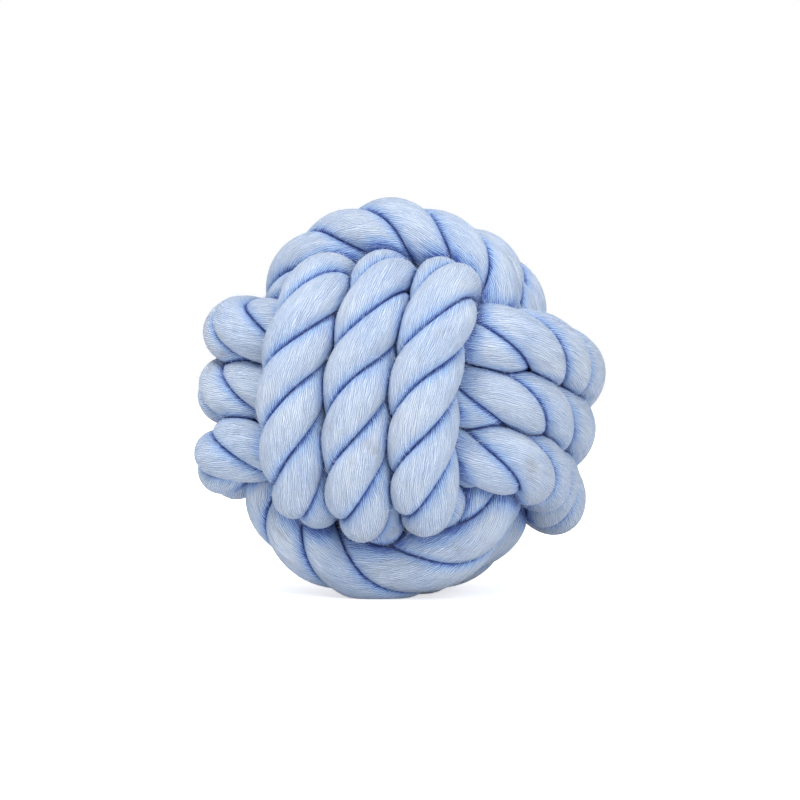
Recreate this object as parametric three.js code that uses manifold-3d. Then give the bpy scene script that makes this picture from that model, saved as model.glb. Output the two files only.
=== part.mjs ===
// Rope ball for a dog: one soft cotton rope tied in a ball knot of three bands, three turns to a band.
// Millimetres, +Z up, the front is -Y, and the ball rests on Z = 0.
import * as THREE from "three";
import Module from "manifold-3d";

// Driving sizes. Every other length of the knot is a share of the rope's diameter. The rope is soft, so
// turns side by side sit nearer than a diameter, and so do the layers where bands cross.
const ROPE_DIAMETER = 15;
const ROPE_RADIUS = ROPE_DIAMETER / 2;
const ROPE_COLOUR = "#b3c7e6";
const ROPE_ROUGHNESS = 0.95;
const TURN_PITCH = 0.945 * ROPE_DIAMETER;
const LAYER_SPACING = 0.83 * ROPE_DIAMETER;
const FLAT_DEPTH = 0.1 * ROPE_DIAMETER;
const CORE_COIL_RADIUS = 0.7 * ROPE_DIAMETER;

// Room left between turns that press on each other, and between the end faces of two stretches.
const PRESSED_GAP = 1.2;
const MEETING_GAP = 0.4;

// How finely the rope is drawn. Its rings lie closer than a plain coil needs, because a turn is pressed
// flat wherever another crosses it, every diameter or so.
const ROUTE_STEP = ROPE_DIAMETER / 7.5;
const RING_STEP = 0.33 * ROPE_DIAMETER;
const SIDES = 10;
const TURN_STEP_DEGREES = 7.5;
const STATION_DEGREES = 45;

// The three bands go round each other in the same way, each turned from the last one by swapping axes.
// A loop is long along one axis, where it lies on the outside, and short along the next, where the band
// that is tied after it lies over it. Its turns lie side by side along the third.
// Degrees run from the long axis towards the short one. A turn steps aside over stepWidth degrees.
// slackShares holds, every 45 degrees from the first turn's slackFrom, how far the rope lies out of the
// plain loop and along the third axis, in rope diameters: a hand-tied ball isn't regular.
const BANDS = {
  level: {
    axes: ["x", "y", "z"],
    halfLength: 2.4 * ROPE_DIAMETER,
    halfDepth: 1.667 * ROPE_DIAMETER,
    squareness: 4,
    from: 100,
    to: 1092,
    stepsAt: [380, 740],
    stepWidth: 55,
    slackFrom: 90,
    slackShares: [
      [0, 0], [0, 0], [-0.07, 0.1], [0, 0.05], [0, 0], [0, 0], [0.1, -0.44], [-0.1, -0.6],
      [0, -0.2], [0, 0], [0.06, 0.15], [0, 0.12], [0, 0.12], [-0.05, 0.1], [-0.12, -0.33], [-0.3, -0.5],
      [0, -0.1], [0.2, 0.08], [0.12, -0.06], [0, 0.22], [-0.1, 0.22], [-0.05, 0.16], [-0.42, -0.12],
      [-0.5, -0.25],
    ],
  },
  upright: {
    axes: ["y", "z", "x"],
    halfLength: 2.44 * ROPE_DIAMETER,
    halfDepth: 1.667 * ROPE_DIAMETER,
    squareness: 4,
    from: -15,
    to: 986,
    stepsAt: [290, 650],
    stepWidth: 55,
    slackFrom: 0,
    slackShares: [
      [0, 0], [0, 0], [-0.2, -0.05], [-0.22, 0.3], [0, -0.03], [-0.45, -0.05], [-0.2, -0.1], [0, 0],
      [0, 0], [0, 0], [0, 0], [0, 0.33], [0, -0.03], [-0.1, -0.1], [0, 0], [0, 0],
      [0, 0], [0, 0], [-0.2, 0.1], [0, 0.33], [0, -0.04], [-0.75, -0.02], [-0.3, 0.1],
    ],
  },
  cross: {
    axes: ["z", "x", "y"],
    halfLength: 2.44 * ROPE_DIAMETER,
    halfDepth: 1.667 * ROPE_DIAMETER,
    squareness: 2.8,
    from: 268,
    to: 1290,
    stepsAt: [588, 955],
    stepWidth: 75,
    slackFrom: 270,
    slackShares: [
      [0, 0.2], [-0.2, 0], [-0.35, 0], [-0.56, 0], [0.12, 0], [-0.66, 0], [0, 0], [-0.2, 0],
      [0, 0], [-0.35, 0], [-0.15, 0], [-0.4, 0], [0.1, 0], [-0.6, 0], [0, 0], [-0.2, 0],
      [0.06, 0], [-0.6, 0], [-0.05, 0], [-0.36, 0], [-0.25, 0], [-0.3, 0], [0, 0], [0, 0],
    ],
  },
};
const TAIL_TO_DEGREES = 1336;

// Where the rope leaves a band, in rope diameters from the ball's centre.
const CORE_LEAD_SHARES = [[0.613, 0.4, 0.6], [0.4, 1, 0.77], [0.067, 1.4, 0.9]];
const UPRIGHT_CROSSOVER_SHARES = [[1.85, 1.64, -1.27], [1.56, 2.05, -1.4], [1.2, 2.35, -1.1]];
const CROSS_CROSSOVER_SHARES = [
  [-1.02, 0.85, -1.62], [-1.18, 1.12, -1.5], [-1.4, 1.27, -1.22], [-1.57, 1.28, -0.85], [-1.65, 1.22, -0.48],
];

// The coil that starts the rope in the middle of the ball.
const CORE_COIL_DEGREES = 576;
const CORE_COIL_STEP_DEGREES = 15;
const CORE_START_HEIGHT = -0.433 * ROPE_DIAMETER;
const CORE_RISE = 0.933 * ROPE_DIAMETER;
const CORE_RISE_START_DEGREES = 176;
const CORE_RISE_OVER_DEGREES = 300;

// Settling: turns closer than the layer spacing push each other apart, and the rope's stiffness evens it.
const EVENING_ROUNDS = 5;
const EVENING_SHARE = 0.5;
const SETTLING_ROUNDS = 60;
const LAST_EVENING_ROUNDS = 3;
const PUSH_SHARE = 0.8;
const STIFFNESS_SHARE = 0.35;
const HOLD_SHARE = 0.035;
const SAME_STRETCH = 1.34 * ROPE_DIAMETER;
const COUNTED_AS_TOUCHING = 0.03 * ROPE_DIAMETER;

// Pressing: how far round a ring the rope looks for turns that press on it, and how it is rounded off.
const PRESSING_RANGE = 2 * ROPE_DIAMETER;
const ROUNDING_ROUNDS = 2;
const ROUNDING_OWN_WEIGHT = 2;

const smoothShare = (value) => {
  const share = THREE.MathUtils.clamp(value, 0, 1);
  return share * share * (3 - 2 * share);
};

const rootOf = (value, squareness) => Math.sign(value) * Math.abs(value) ** (2 / squareness);

const fromShares = (shares) => {
  const points = shares.map((share) => new THREE.Vector3(...share));
  return points.map((point) => point.multiplyScalar(ROPE_DIAMETER));
};

// The slack at an angle of a band: outwards, and along the band's third axis.
function slackAt(band, degrees) {
  const last = band.slackShares.length - 1;
  const place = THREE.MathUtils.clamp((degrees - band.slackFrom) / STATION_DEGREES, 0, last);
  const index = Math.min(Math.floor(place), last - 1);
  const share = smoothShare(place - index);
  const [a, b] = [band.slackShares[index], band.slackShares[index + 1]];
  return a.map((value, i) => (value + (b[i] - value) * share) * ROPE_DIAMETER);
}

// One point of a band's run.
function bandPoint(band, degrees) {
  const angle = THREE.MathUtils.degToRad(degrees);
  const along = band.halfLength * rootOf(Math.cos(angle), band.squareness);
  const across = band.halfDepth * rootOf(Math.sin(angle), band.squareness);
  const [out, aside] = slackAt(band, degrees);
  const grown = 1 + out / Math.hypot(along, across);
  const steps = band.stepsAt.reduce((sum, at) => sum + smoothShare((degrees - at) / band.stepWidth), 0);
  const point = new THREE.Vector3();
  point[band.axes[0]] = along * grown;
  point[band.axes[1]] = across * grown;
  point[band.axes[2]] = TURN_PITCH * (1 - steps) + aside;
  return point;
}

function bandPoints(band, from, to) {
  const points = [];
  for (let degrees = from; degrees <= to; degrees += TURN_STEP_DEGREES) {
    points.push(bandPoint(band, degrees));
  }
  return points;
}

function coreCoilPoints() {
  const points = [];
  for (let degrees = 0; degrees <= CORE_COIL_DEGREES; degrees += CORE_COIL_STEP_DEGREES) {
    const angle = THREE.MathUtils.degToRad(degrees - CORE_COIL_DEGREES);
    const rise = smoothShare((degrees - CORE_RISE_START_DEGREES) / CORE_RISE_OVER_DEGREES);
    points.push(
      new THREE.Vector3(
        CORE_COIL_RADIUS * Math.cos(angle),
        CORE_COIL_RADIUS * Math.sin(angle),
        CORE_START_HEIGHT + CORE_RISE * rise,
      ),
    );
  }
  return points;
}

// The rope from its start to its end, by the stretches that become nodes.
const STRETCHES = [
  { name: "core_coil", points: coreCoilPoints() },
  { name: "core_lead", points: fromShares(CORE_LEAD_SHARES) },
  { name: "level_turns", points: bandPoints(BANDS.level, BANDS.level.from, BANDS.level.to) },
  { name: "crossover_to_upright", points: fromShares(UPRIGHT_CROSSOVER_SHARES) },
  { name: "upright_turns", points: bandPoints(BANDS.upright, BANDS.upright.from, BANDS.upright.to) },
  { name: "crossover_to_cross", points: fromShares(CROSS_CROSSOVER_SHARES) },
  { name: "cross_turns", points: bandPoints(BANDS.cross, BANDS.cross.from, BANDS.cross.to) },
  {
    name: "tucked_end",
    points: bandPoints(BANDS.cross, BANDS.cross.to + TURN_STEP_DEGREES, TAIL_TO_DEGREES),
  },
];

// Points at an even spacing along a line of points. Each keeps the stretch that it came from.
function evenlySpaced(line, spacing) {
  const lengths = [0];
  for (let i = 1; i < line.length; i++) lengths.push(lengths[i - 1] + line[i].at.distanceTo(line[i - 1].at));
  const total = lengths[lengths.length - 1];
  const count = Math.round(total / spacing);
  const out = [];
  let segment = 1;
  for (let i = 0; i <= count; i++) {
    const target = (total * i) / count;
    while (segment < line.length - 1 && lengths[segment] < target) segment++;
    const share = (target - lengths[segment - 1]) / (lengths[segment] - lengths[segment - 1]);
    const nearer = share < 0.5 ? line[segment - 1] : line[segment];
    out.push({
      at: new THREE.Vector3().lerpVectors(line[segment - 1].at, line[segment].at, share),
      stretch: nearer.stretch,
    });
  }
  return out;
}

// Each point moves towards the middle of its two neighbours, which rounds off the corners.
function evened(points, share) {
  return points.map((point, i) => {
    if (i === 0 || i === points.length - 1) return point.clone();
    const middle = points[i - 1].clone().add(points[i + 1]).multiplyScalar(0.5);
    return point.clone().lerp(middle, share);
  });
}

// The push on each point from the stretches that lie closer to it than the layer spacing.
function pushes(points) {
  const sums = points.map(() => new THREE.Vector3());
  const counts = points.map(() => 0);
  const skip = Math.floor(SAME_STRETCH / ROUTE_STEP) + 1;
  const between = new THREE.Vector3();
  for (let i = 0; i < points.length; i++) {
    for (let j = i + skip; j < points.length; j++) {
      between.subVectors(points[i], points[j]);
      const distance = between.length();
      if (distance >= LAYER_SPACING) continue;
      between.multiplyScalar((LAYER_SPACING - distance) / 2 / Math.max(distance, COUNTED_AS_TOUCHING));
      sums[i].add(between);
      sums[j].sub(between);
      counts[i]++;
      counts[j]++;
    }
  }
  return sums.map((sum, i) => sum.multiplyScalar(PUSH_SHARE / Math.max(counts[i], 1)));
}

function settled(start) {
  let points = start.map((point) => point.clone());
  for (let round = 0; round < SETTLING_ROUNDS; round++) {
    const moves = pushes(points);
    points = points.map((point, i) => point.add(moves[i]));
    points = evened(points, STIFFNESS_SHARE);
    points = points.map((point, i) => point.lerp(start[i], HOLD_SHARE));
  }
  return points;
}

function ropeLine() {
  const drawn = STRETCHES.flatMap(({ points }, stretch) => points.map((at) => ({ at, stretch })));
  const line = evenlySpaced(drawn, ROUTE_STEP);
  let points = line.map(({ at }) => at);
  for (let round = 0; round < EVENING_ROUNDS; round++) points = evened(points, EVENING_SHARE);
  points = settled(points);
  for (let round = 0; round < LAST_EVENING_ROUNDS; round++) points = evened(points, EVENING_SHARE);
  return evenlySpaced(points.map((at, i) => ({ at, stretch: line[i].stretch })), ROUTE_STEP);
}

// A ring for each step along the rope: its centre, its direction, and two directions across it that
// don't twist along the way.
function ringFrames(line) {
  const frames = line.map(({ at, stretch }, i) => {
    const before = line[Math.max(i - 1, 0)].at;
    const after = line[Math.min(i + 1, line.length - 1)].at;
    return { at, stretch, along: after.clone().sub(before).normalize() };
  });
  let side = new THREE.Vector3(0, 0, 1).cross(frames[0].along).normalize();
  for (const frame of frames) {
    side = side.clone().addScaledVector(frame.along, -side.dot(frame.along)).normalize();
    frame.side = side;
    frame.other = frame.along.clone().cross(side);
  }
  return frames;
}

// How far the rope reaches from a ring's centre in one direction. Where another stretch presses on it,
// it is flat, half the pressed gap short of the plane midway between the two.
function reach(centre, direction, others) {
  let limit = Infinity;
  const offset = new THREE.Vector3();
  for (const other of others) {
    offset.subVectors(other, centre);
    const towards = offset.dot(direction);
    if (towards > 0) limit = Math.min(limit, offset.lengthSq() / (2 * towards));
  }
  return Math.min(ROPE_RADIUS, limit - PRESSED_GAP / 2);
}

function cornerDirection(frame, corner) {
  const angle = (2 * Math.PI * corner) / SIDES;
  return frame.side.clone().multiplyScalar(Math.cos(angle)).addScaledVector(frame.other, Math.sin(angle));
}

// A pressed rope has no sharp ridges: each reach drops towards those round it, and never grows.
function roundedReaches(pressed) {
  let reaches = pressed.map((ring) => [...ring]);
  for (let round = 0; round < ROUNDING_ROUNDS; round++) {
    reaches = reaches.map((ring, i) => ring.map((value, corner) => {
      const nearby = [
        reaches[Math.max(i - 1, 0)][corner],
        reaches[Math.min(i + 1, reaches.length - 1)][corner],
        ring[(corner + 1) % SIDES],
        ring[(corner + SIDES - 1) % SIDES],
      ];
      const sum = nearby.reduce((total, reached) => total + reached, ROUNDING_OWN_WEIGHT * value);
      return Math.min(pressed[i][corner], sum / (ROUNDING_OWN_WEIGHT + nearby.length));
    }));
  }
  return reaches;
}

function pressedRings(frames, line) {
  const pressed = frames.map((frame, index) => {
    const centreIndex = (index * (line.length - 1)) / (frames.length - 1);
    const others = line
      .filter((_, i) => Math.abs(i - centreIndex) * ROUTE_STEP > SAME_STRETCH)
      .map(({ at }) => at)
      .filter((at) => at.distanceTo(frame.at) < PRESSING_RANGE);
    const corners = Array.from({ length: SIDES }, (_, corner) => cornerDirection(frame, corner));
    return corners.map((direction) => reach(frame.at, direction, others));
  });
  const reaches = roundedReaches(pressed);
  return frames.map((frame, i) => {
    const corners = reaches[i].map((value, corner) => cornerDirection(frame, corner).multiplyScalar(value));
    return { ...frame, points: corners.map((offset) => offset.add(frame.at)) };
  });
}

// A closed tube through some rings. Its two end faces stop half the meeting gap short.
function tubeGeometry(rings) {
  const positions = [];
  const faces = [];
  const last = rings.length - 1;
  const middles = rings.map((ring) => ring.at.clone());
  rings.forEach((ring, i) => {
    const inset = i === 0 ? MEETING_GAP / 2 : i === last ? -MEETING_GAP / 2 : 0;
    const corners = ring.points.map((point) => point.clone().addScaledVector(ring.along, inset));
    corners.forEach((corner) => positions.push(...corner.toArray()));
    middles[i].addScaledVector(ring.along, inset);
  });
  for (let i = 0; i < last; i++) {
    for (let corner = 0; corner < SIDES; corner++) {
      const next = (corner + 1) % SIDES;
      const [a, b] = [i * SIDES + corner, i * SIDES + next];
      faces.push(a, b, a + SIDES, b, b + SIDES, a + SIDES);
    }
  }
  const startMiddle = rings.length * SIDES;
  positions.push(...middles[0].toArray(), ...middles[last].toArray());
  for (let corner = 0; corner < SIDES; corner++) {
    const next = (corner + 1) % SIDES;
    faces.push(startMiddle, next, corner);
    faces.push(startMiddle + 1, last * SIDES + corner, last * SIDES + next);
  }
  const geometry = new THREE.BufferGeometry();
  geometry.setAttribute("position", new THREE.Float32BufferAttribute(positions, 3));
  geometry.setIndex(faces);
  return geometry;
}

// The least distance between two stretches of the rope's surface, from points on each facet to the
// facets of the rings beside it.
function leastGap(rings) {
  const facets = [];
  for (let i = 0; i + 1 < rings.length; i++) {
    for (let corner = 0; corner < SIDES; corner++) {
      const next = (corner + 1) % SIDES;
      const [a, b] = [rings[i].points[corner], rings[i].points[next]];
      const [c, d] = [rings[i + 1].points[corner], rings[i + 1].points[next]];
      facets.push({ step: i, triangle: new THREE.Triangle(a, b, c) });
      facets.push({ step: i, triangle: new THREE.Triangle(b, d, c) });
    }
  }
  const apart = Math.ceil(SAME_STRETCH / RING_STEP);
  const nearest = new THREE.Vector3();
  let least = Infinity;
  for (const { step, triangle } of facets) {
    const middle = triangle.getMidpoint(new THREE.Vector3());
    const samples = [triangle.a, middle, triangle.b.clone().add(triangle.c).multiplyScalar(0.5)];
    for (const other of facets) {
      if (Math.abs(other.step - step) <= apart) continue;
      if (other.triangle.a.distanceTo(middle) > ROPE_RADIUS + RING_STEP) continue;
      for (const sample of samples) {
        other.triangle.closestPointToPoint(sample, nearest);
        least = Math.min(least, nearest.distanceTo(sample));
      }
    }
  }
  return least;
}

// The ball rests on the lowest turns of the cross band, which are cut flat there.
async function cutFlat(geometry, height) {
  const wasm = await Module();
  wasm.setup();
  const mesh = new wasm.Mesh({
    numProp: 3,
    vertProperties: new Float32Array(geometry.attributes.position.array),
    triVerts: new Uint32Array(geometry.index.array),
  });
  const cut = new wasm.Manifold(mesh).trimByPlane([0, 0, 1], height).getMesh();
  const out = new THREE.BufferGeometry();
  out.setAttribute("position", new THREE.BufferAttribute(new Float32Array(cut.vertProperties), 3));
  out.setIndex(new THREE.BufferAttribute(new Uint32Array(cut.triVerts), 1));
  return out;
}

const line = ropeLine();
const frames = ringFrames(evenlySpaced(line, RING_STEP));
const rings = pressedRings(frames, line);

const lowest = Math.min(...rings.flatMap((ring) => ring.points.map((point) => point.z)));
const floor = lowest + FLAT_DEPTH;

const cotton = new THREE.MeshStandardMaterial({ color: ROPE_COLOUR, roughness: ROPE_ROUGHNESS });
const ball = new THREE.Group();
ball.name = "rope_ball";
for (const [index, stretch] of STRETCHES.entries()) {
  const first = rings.findIndex((ring) => ring.stretch === index);
  const last = rings.findLastIndex((ring) => ring.stretch === index);
  const meetsNext = index < STRETCHES.length - 1 ? 1 : 0;
  let geometry = tubeGeometry(rings.slice(first, last + 1 + meetsNext));
  if (stretch.name === "cross_turns") geometry = await cutFlat(geometry, floor);
  const mesh = new THREE.Mesh(geometry, cotton);
  mesh.name = stretch.name;
  ball.add(mesh);
}
const middle = new THREE.Box3().setFromObject(ball).getCenter(new THREE.Vector3());
for (const mesh of ball.children) mesh.geometry.translate(-middle.x, -middle.y, -floor);

const ropeLength = ROUTE_STEP * (line.length - 1);
console.log(`rope length about ${ropeLength.toFixed(0)} mm, least gap ${leastGap(rings).toFixed(2)} mm`);

export default ball;
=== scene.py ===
"""Rope ball for a dog, one soft cotton rope tied in a ball knot of three bands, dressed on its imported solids.

The rope's line is worked out as the solids' line is: three bands of three turns, settled against each other.
Three strands are laid round that line and pressed flat where they meet, and loose fibres stand out of them.
Lengths are millimetres in the ball's own frame until a mesh is made, which is in metres in the part's frame.
"""

import logging
import math
from dataclasses import dataclass, field
from enum import Enum

import bpy
import numpy as np
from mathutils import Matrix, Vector


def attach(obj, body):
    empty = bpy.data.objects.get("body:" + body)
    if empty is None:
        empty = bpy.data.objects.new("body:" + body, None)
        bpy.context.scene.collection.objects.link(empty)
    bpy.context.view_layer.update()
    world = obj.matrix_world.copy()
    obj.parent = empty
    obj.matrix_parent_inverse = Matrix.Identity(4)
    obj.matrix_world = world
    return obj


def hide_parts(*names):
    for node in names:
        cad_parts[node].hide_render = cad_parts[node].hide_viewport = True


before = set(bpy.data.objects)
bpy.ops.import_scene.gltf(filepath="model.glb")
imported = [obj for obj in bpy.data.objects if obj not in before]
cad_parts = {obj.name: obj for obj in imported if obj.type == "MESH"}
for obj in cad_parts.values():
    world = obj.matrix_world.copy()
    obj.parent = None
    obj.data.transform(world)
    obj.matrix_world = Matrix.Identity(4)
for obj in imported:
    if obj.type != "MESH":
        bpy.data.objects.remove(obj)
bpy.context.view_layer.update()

LOG = logging.getLogger("rope_ball")
METRES = 0.001
ROPE_DIAMETER = 15.0
BALL_CENTRE = np.array([0.095, -0.643, 42.906])
STRIP_MAP = "OFBake"
WHITE = (1.0, 1.0, 1.0, 1.0)
ROUND_OFF = 1e-9
ALMOST_NONE = 1e-6

Line = tuple[np.ndarray, np.ndarray, np.ndarray]
NodeSettings = dict[str | int, object]
NodeLinks = dict[str | int, bpy.types.Node | bpy.types.NodeSocket]

# The ends of a range, and the sockets of a colour mix and of a random number, some known only by number.
FROM, TO = ("From Min", "From Max"), ("To Min", "To Max")
MIX_SHARE, MIX_FIRST, MIX_SECOND, MIXED = 0, 6, 7, 2
RANDOM_ENDS, RANDOM_RESULT = (2, 3), 1


class Axis(Enum):
    """The ball's axes, by their place in a point."""

    X = 0
    Y = 1
    Z = 2


class Stretch(Enum):
    """The stretches of the rope, each named as the solid that it stands for, in order from its start."""

    CORE_COIL = "core_coil"
    CORE_LEAD = "core_lead"
    LEVEL_TURNS = "level_turns"
    CROSSOVER_TO_UPRIGHT = "crossover_to_upright"
    UPRIGHT_TURNS = "upright_turns"
    CROSSOVER_TO_CROSS = "crossover_to_cross"
    CROSS_TURNS = "cross_turns"
    TUCKED_END = "tucked_end"


def smooth_share(value: np.ndarray) -> np.ndarray:
    """Eases a share from 0 to 1, level at both ends."""
    share = np.clip(value, 0.0, 1.0)
    return share * share * (3.0 - 2.0 * share)


def rounded_root(value: np.ndarray, squareness: float) -> np.ndarray:
    """The side of a rounded square at the sine or cosine of an angle."""
    return np.sign(value) * np.abs(value) ** (2.0 / squareness)


def even_steps(line: Line, spacing: float) -> Line:
    """Spaces a labelled line evenly, with each point's labels taken from the drawn point nearest to it.

    Args:
        line: Points, stretch numbers and angles.
        spacing: The distance wanted between two points.

    Returns:
        The same three for the new points.
    """
    points, stretches, degrees = line
    lengths = np.concatenate([[0.0], np.cumsum(np.linalg.norm(np.diff(points, axis=0), axis=1))])
    count = round(lengths[-1] / spacing)
    places = np.linspace(0.0, lengths[-1], count + 1)
    moved = np.stack([np.interp(places, lengths, points[:, axis]) for axis in range(3)], axis=1)
    nearest = np.rint(np.interp(places, lengths, np.arange(len(points)))).astype(int)
    return moved, stretches[nearest], degrees[nearest]


def evened(points: np.ndarray, share: float) -> np.ndarray:
    """Moves each point towards the middle of its two neighbours.

    Args:
        points: The line's points.
        share: The share of the way that each goes.

    Returns:
        The moved points. The two ends stay.
    """
    out = points.copy()
    out[1:-1] += share * ((points[:-2] + points[2:]) / 2.0 - points[1:-1])
    return out


@dataclass(frozen=True)
class Band:
    """One band of the knot: three turns side by side, long along one axis and short along the next.

    slack_shares holds, at each station from slack_from on, how far the rope lies out of the plain loop and
    along the third axis, in rope diameters. It is written half a turn to a line.
    """

    axes: tuple[Axis, Axis, Axis]
    half_length: float
    half_depth: float
    squareness: float
    start: float
    end: float
    steps_at: tuple[float, float]
    step_width: float
    slack_from: float
    slack_shares: tuple[tuple[float, float], ...]
    turn_pitch: float = 0.945 * ROPE_DIAMETER
    station: float = 45.0

    def slack(self, degrees: np.ndarray) -> np.ndarray:
        """How far the rope lies out of the plain loop.

        Args:
            degrees: Angles round the band.

        Returns:
            The way outwards and the way along the third axis at each of them, in millimetres.
        """
        shares = np.array(self.slack_shares)
        last = len(shares) - 1
        place = np.clip((degrees - self.slack_from) / self.station, 0, last)
        index = np.minimum(np.floor(place).astype(int), last - 1)
        eased = smooth_share(place - index)[:, None]
        return (shares[index] + (shares[index + 1] - shares[index]) * eased) * ROPE_DIAMETER

    def points(self, start: float, end: float, step: float) -> tuple[np.ndarray, np.ndarray]:
        """The band's points over a range of degrees.

        Args:
            start: The first angle.
            end: The last angle, which may fall between two steps.
            step: The angle between two points.

        Returns:
            The points and their angles.
        """
        degrees = np.arange(start, end + ROUND_OFF, step)
        angle = np.radians(degrees)
        along = self.half_length * rounded_root(np.cos(angle), self.squareness)
        across = self.half_depth * rounded_root(np.sin(angle), self.squareness)
        out, aside = self.slack(degrees).T
        grown = 1.0 + out / np.hypot(along, across)
        stepped = sum(smooth_share((degrees - at) / self.step_width) for at in self.steps_at)
        points = np.zeros((len(degrees), 3))
        points[:, self.axes[0].value] = along * grown
        points[:, self.axes[1].value] = across * grown
        points[:, self.axes[2].value] = self.turn_pitch * (1.0 - stepped) + aside
        return points, degrees


LEVEL_BAND = Band(
    axes=(Axis.X, Axis.Y, Axis.Z),
    half_length=2.4 * ROPE_DIAMETER,
    half_depth=1.667 * ROPE_DIAMETER,
    squareness=4.0,
    start=100.0,
    end=1092.0,
    steps_at=(380.0, 740.0),
    step_width=55.0,
    slack_from=90.0,
    slack_shares=(
        (0, 0), (0, 0), (-0.07, 0.1), (0, 0.05),
        (0, 0), (0, 0), (0.1, -0.44), (-0.1, -0.6),
        (0, -0.2), (0, 0), (0.06, 0.15), (0, 0.12),
        (0, 0.12), (-0.05, 0.1), (-0.12, -0.33), (-0.3, -0.5),
        (0, -0.1), (0.2, 0.08), (0.12, -0.06), (0, 0.22),
        (-0.1, 0.22), (-0.05, 0.16), (-0.42, -0.12), (-0.5, -0.25),
    ),
)

UPRIGHT_BAND = Band(
    axes=(Axis.Y, Axis.Z, Axis.X),
    half_length=2.44 * ROPE_DIAMETER,
    half_depth=1.667 * ROPE_DIAMETER,
    squareness=4.0,
    start=-15.0,
    end=986.0,
    steps_at=(290.0, 650.0),
    step_width=55.0,
    slack_from=0.0,
    slack_shares=(
        (0, 0), (0, 0), (-0.2, -0.05), (-0.22, 0.3),
        (0, -0.03), (-0.45, -0.05), (-0.2, -0.1), (0, 0),
        (0, 0), (0, 0), (0, 0), (0, 0.33),
        (0, -0.03), (-0.1, -0.1), (0, 0), (0, 0),
        (0, 0), (0, 0), (-0.2, 0.1), (0, 0.33),
        (0, -0.04), (-0.75, -0.02), (-0.3, 0.1),
    ),
)

CROSS_BAND = Band(
    axes=(Axis.Z, Axis.X, Axis.Y),
    half_length=2.44 * ROPE_DIAMETER,
    half_depth=1.667 * ROPE_DIAMETER,
    squareness=2.8,
    start=268.0,
    end=1290.0,
    steps_at=(588.0, 955.0),
    step_width=75.0,
    slack_from=270.0,
    slack_shares=(
        (0, 0.2), (-0.2, 0), (-0.35, 0), (-0.56, 0),
        (0.12, 0), (-0.66, 0), (0, 0), (-0.2, 0),
        (0, 0), (-0.35, 0), (-0.15, 0), (-0.4, 0),
        (0.1, 0), (-0.6, 0), (0, 0), (-0.2, 0),
        (0.06, 0), (-0.6, 0), (-0.05, 0), (-0.36, 0),
        (-0.25, 0), (-0.3, 0), (0, 0), (0, 0),
    ),
)


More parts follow.
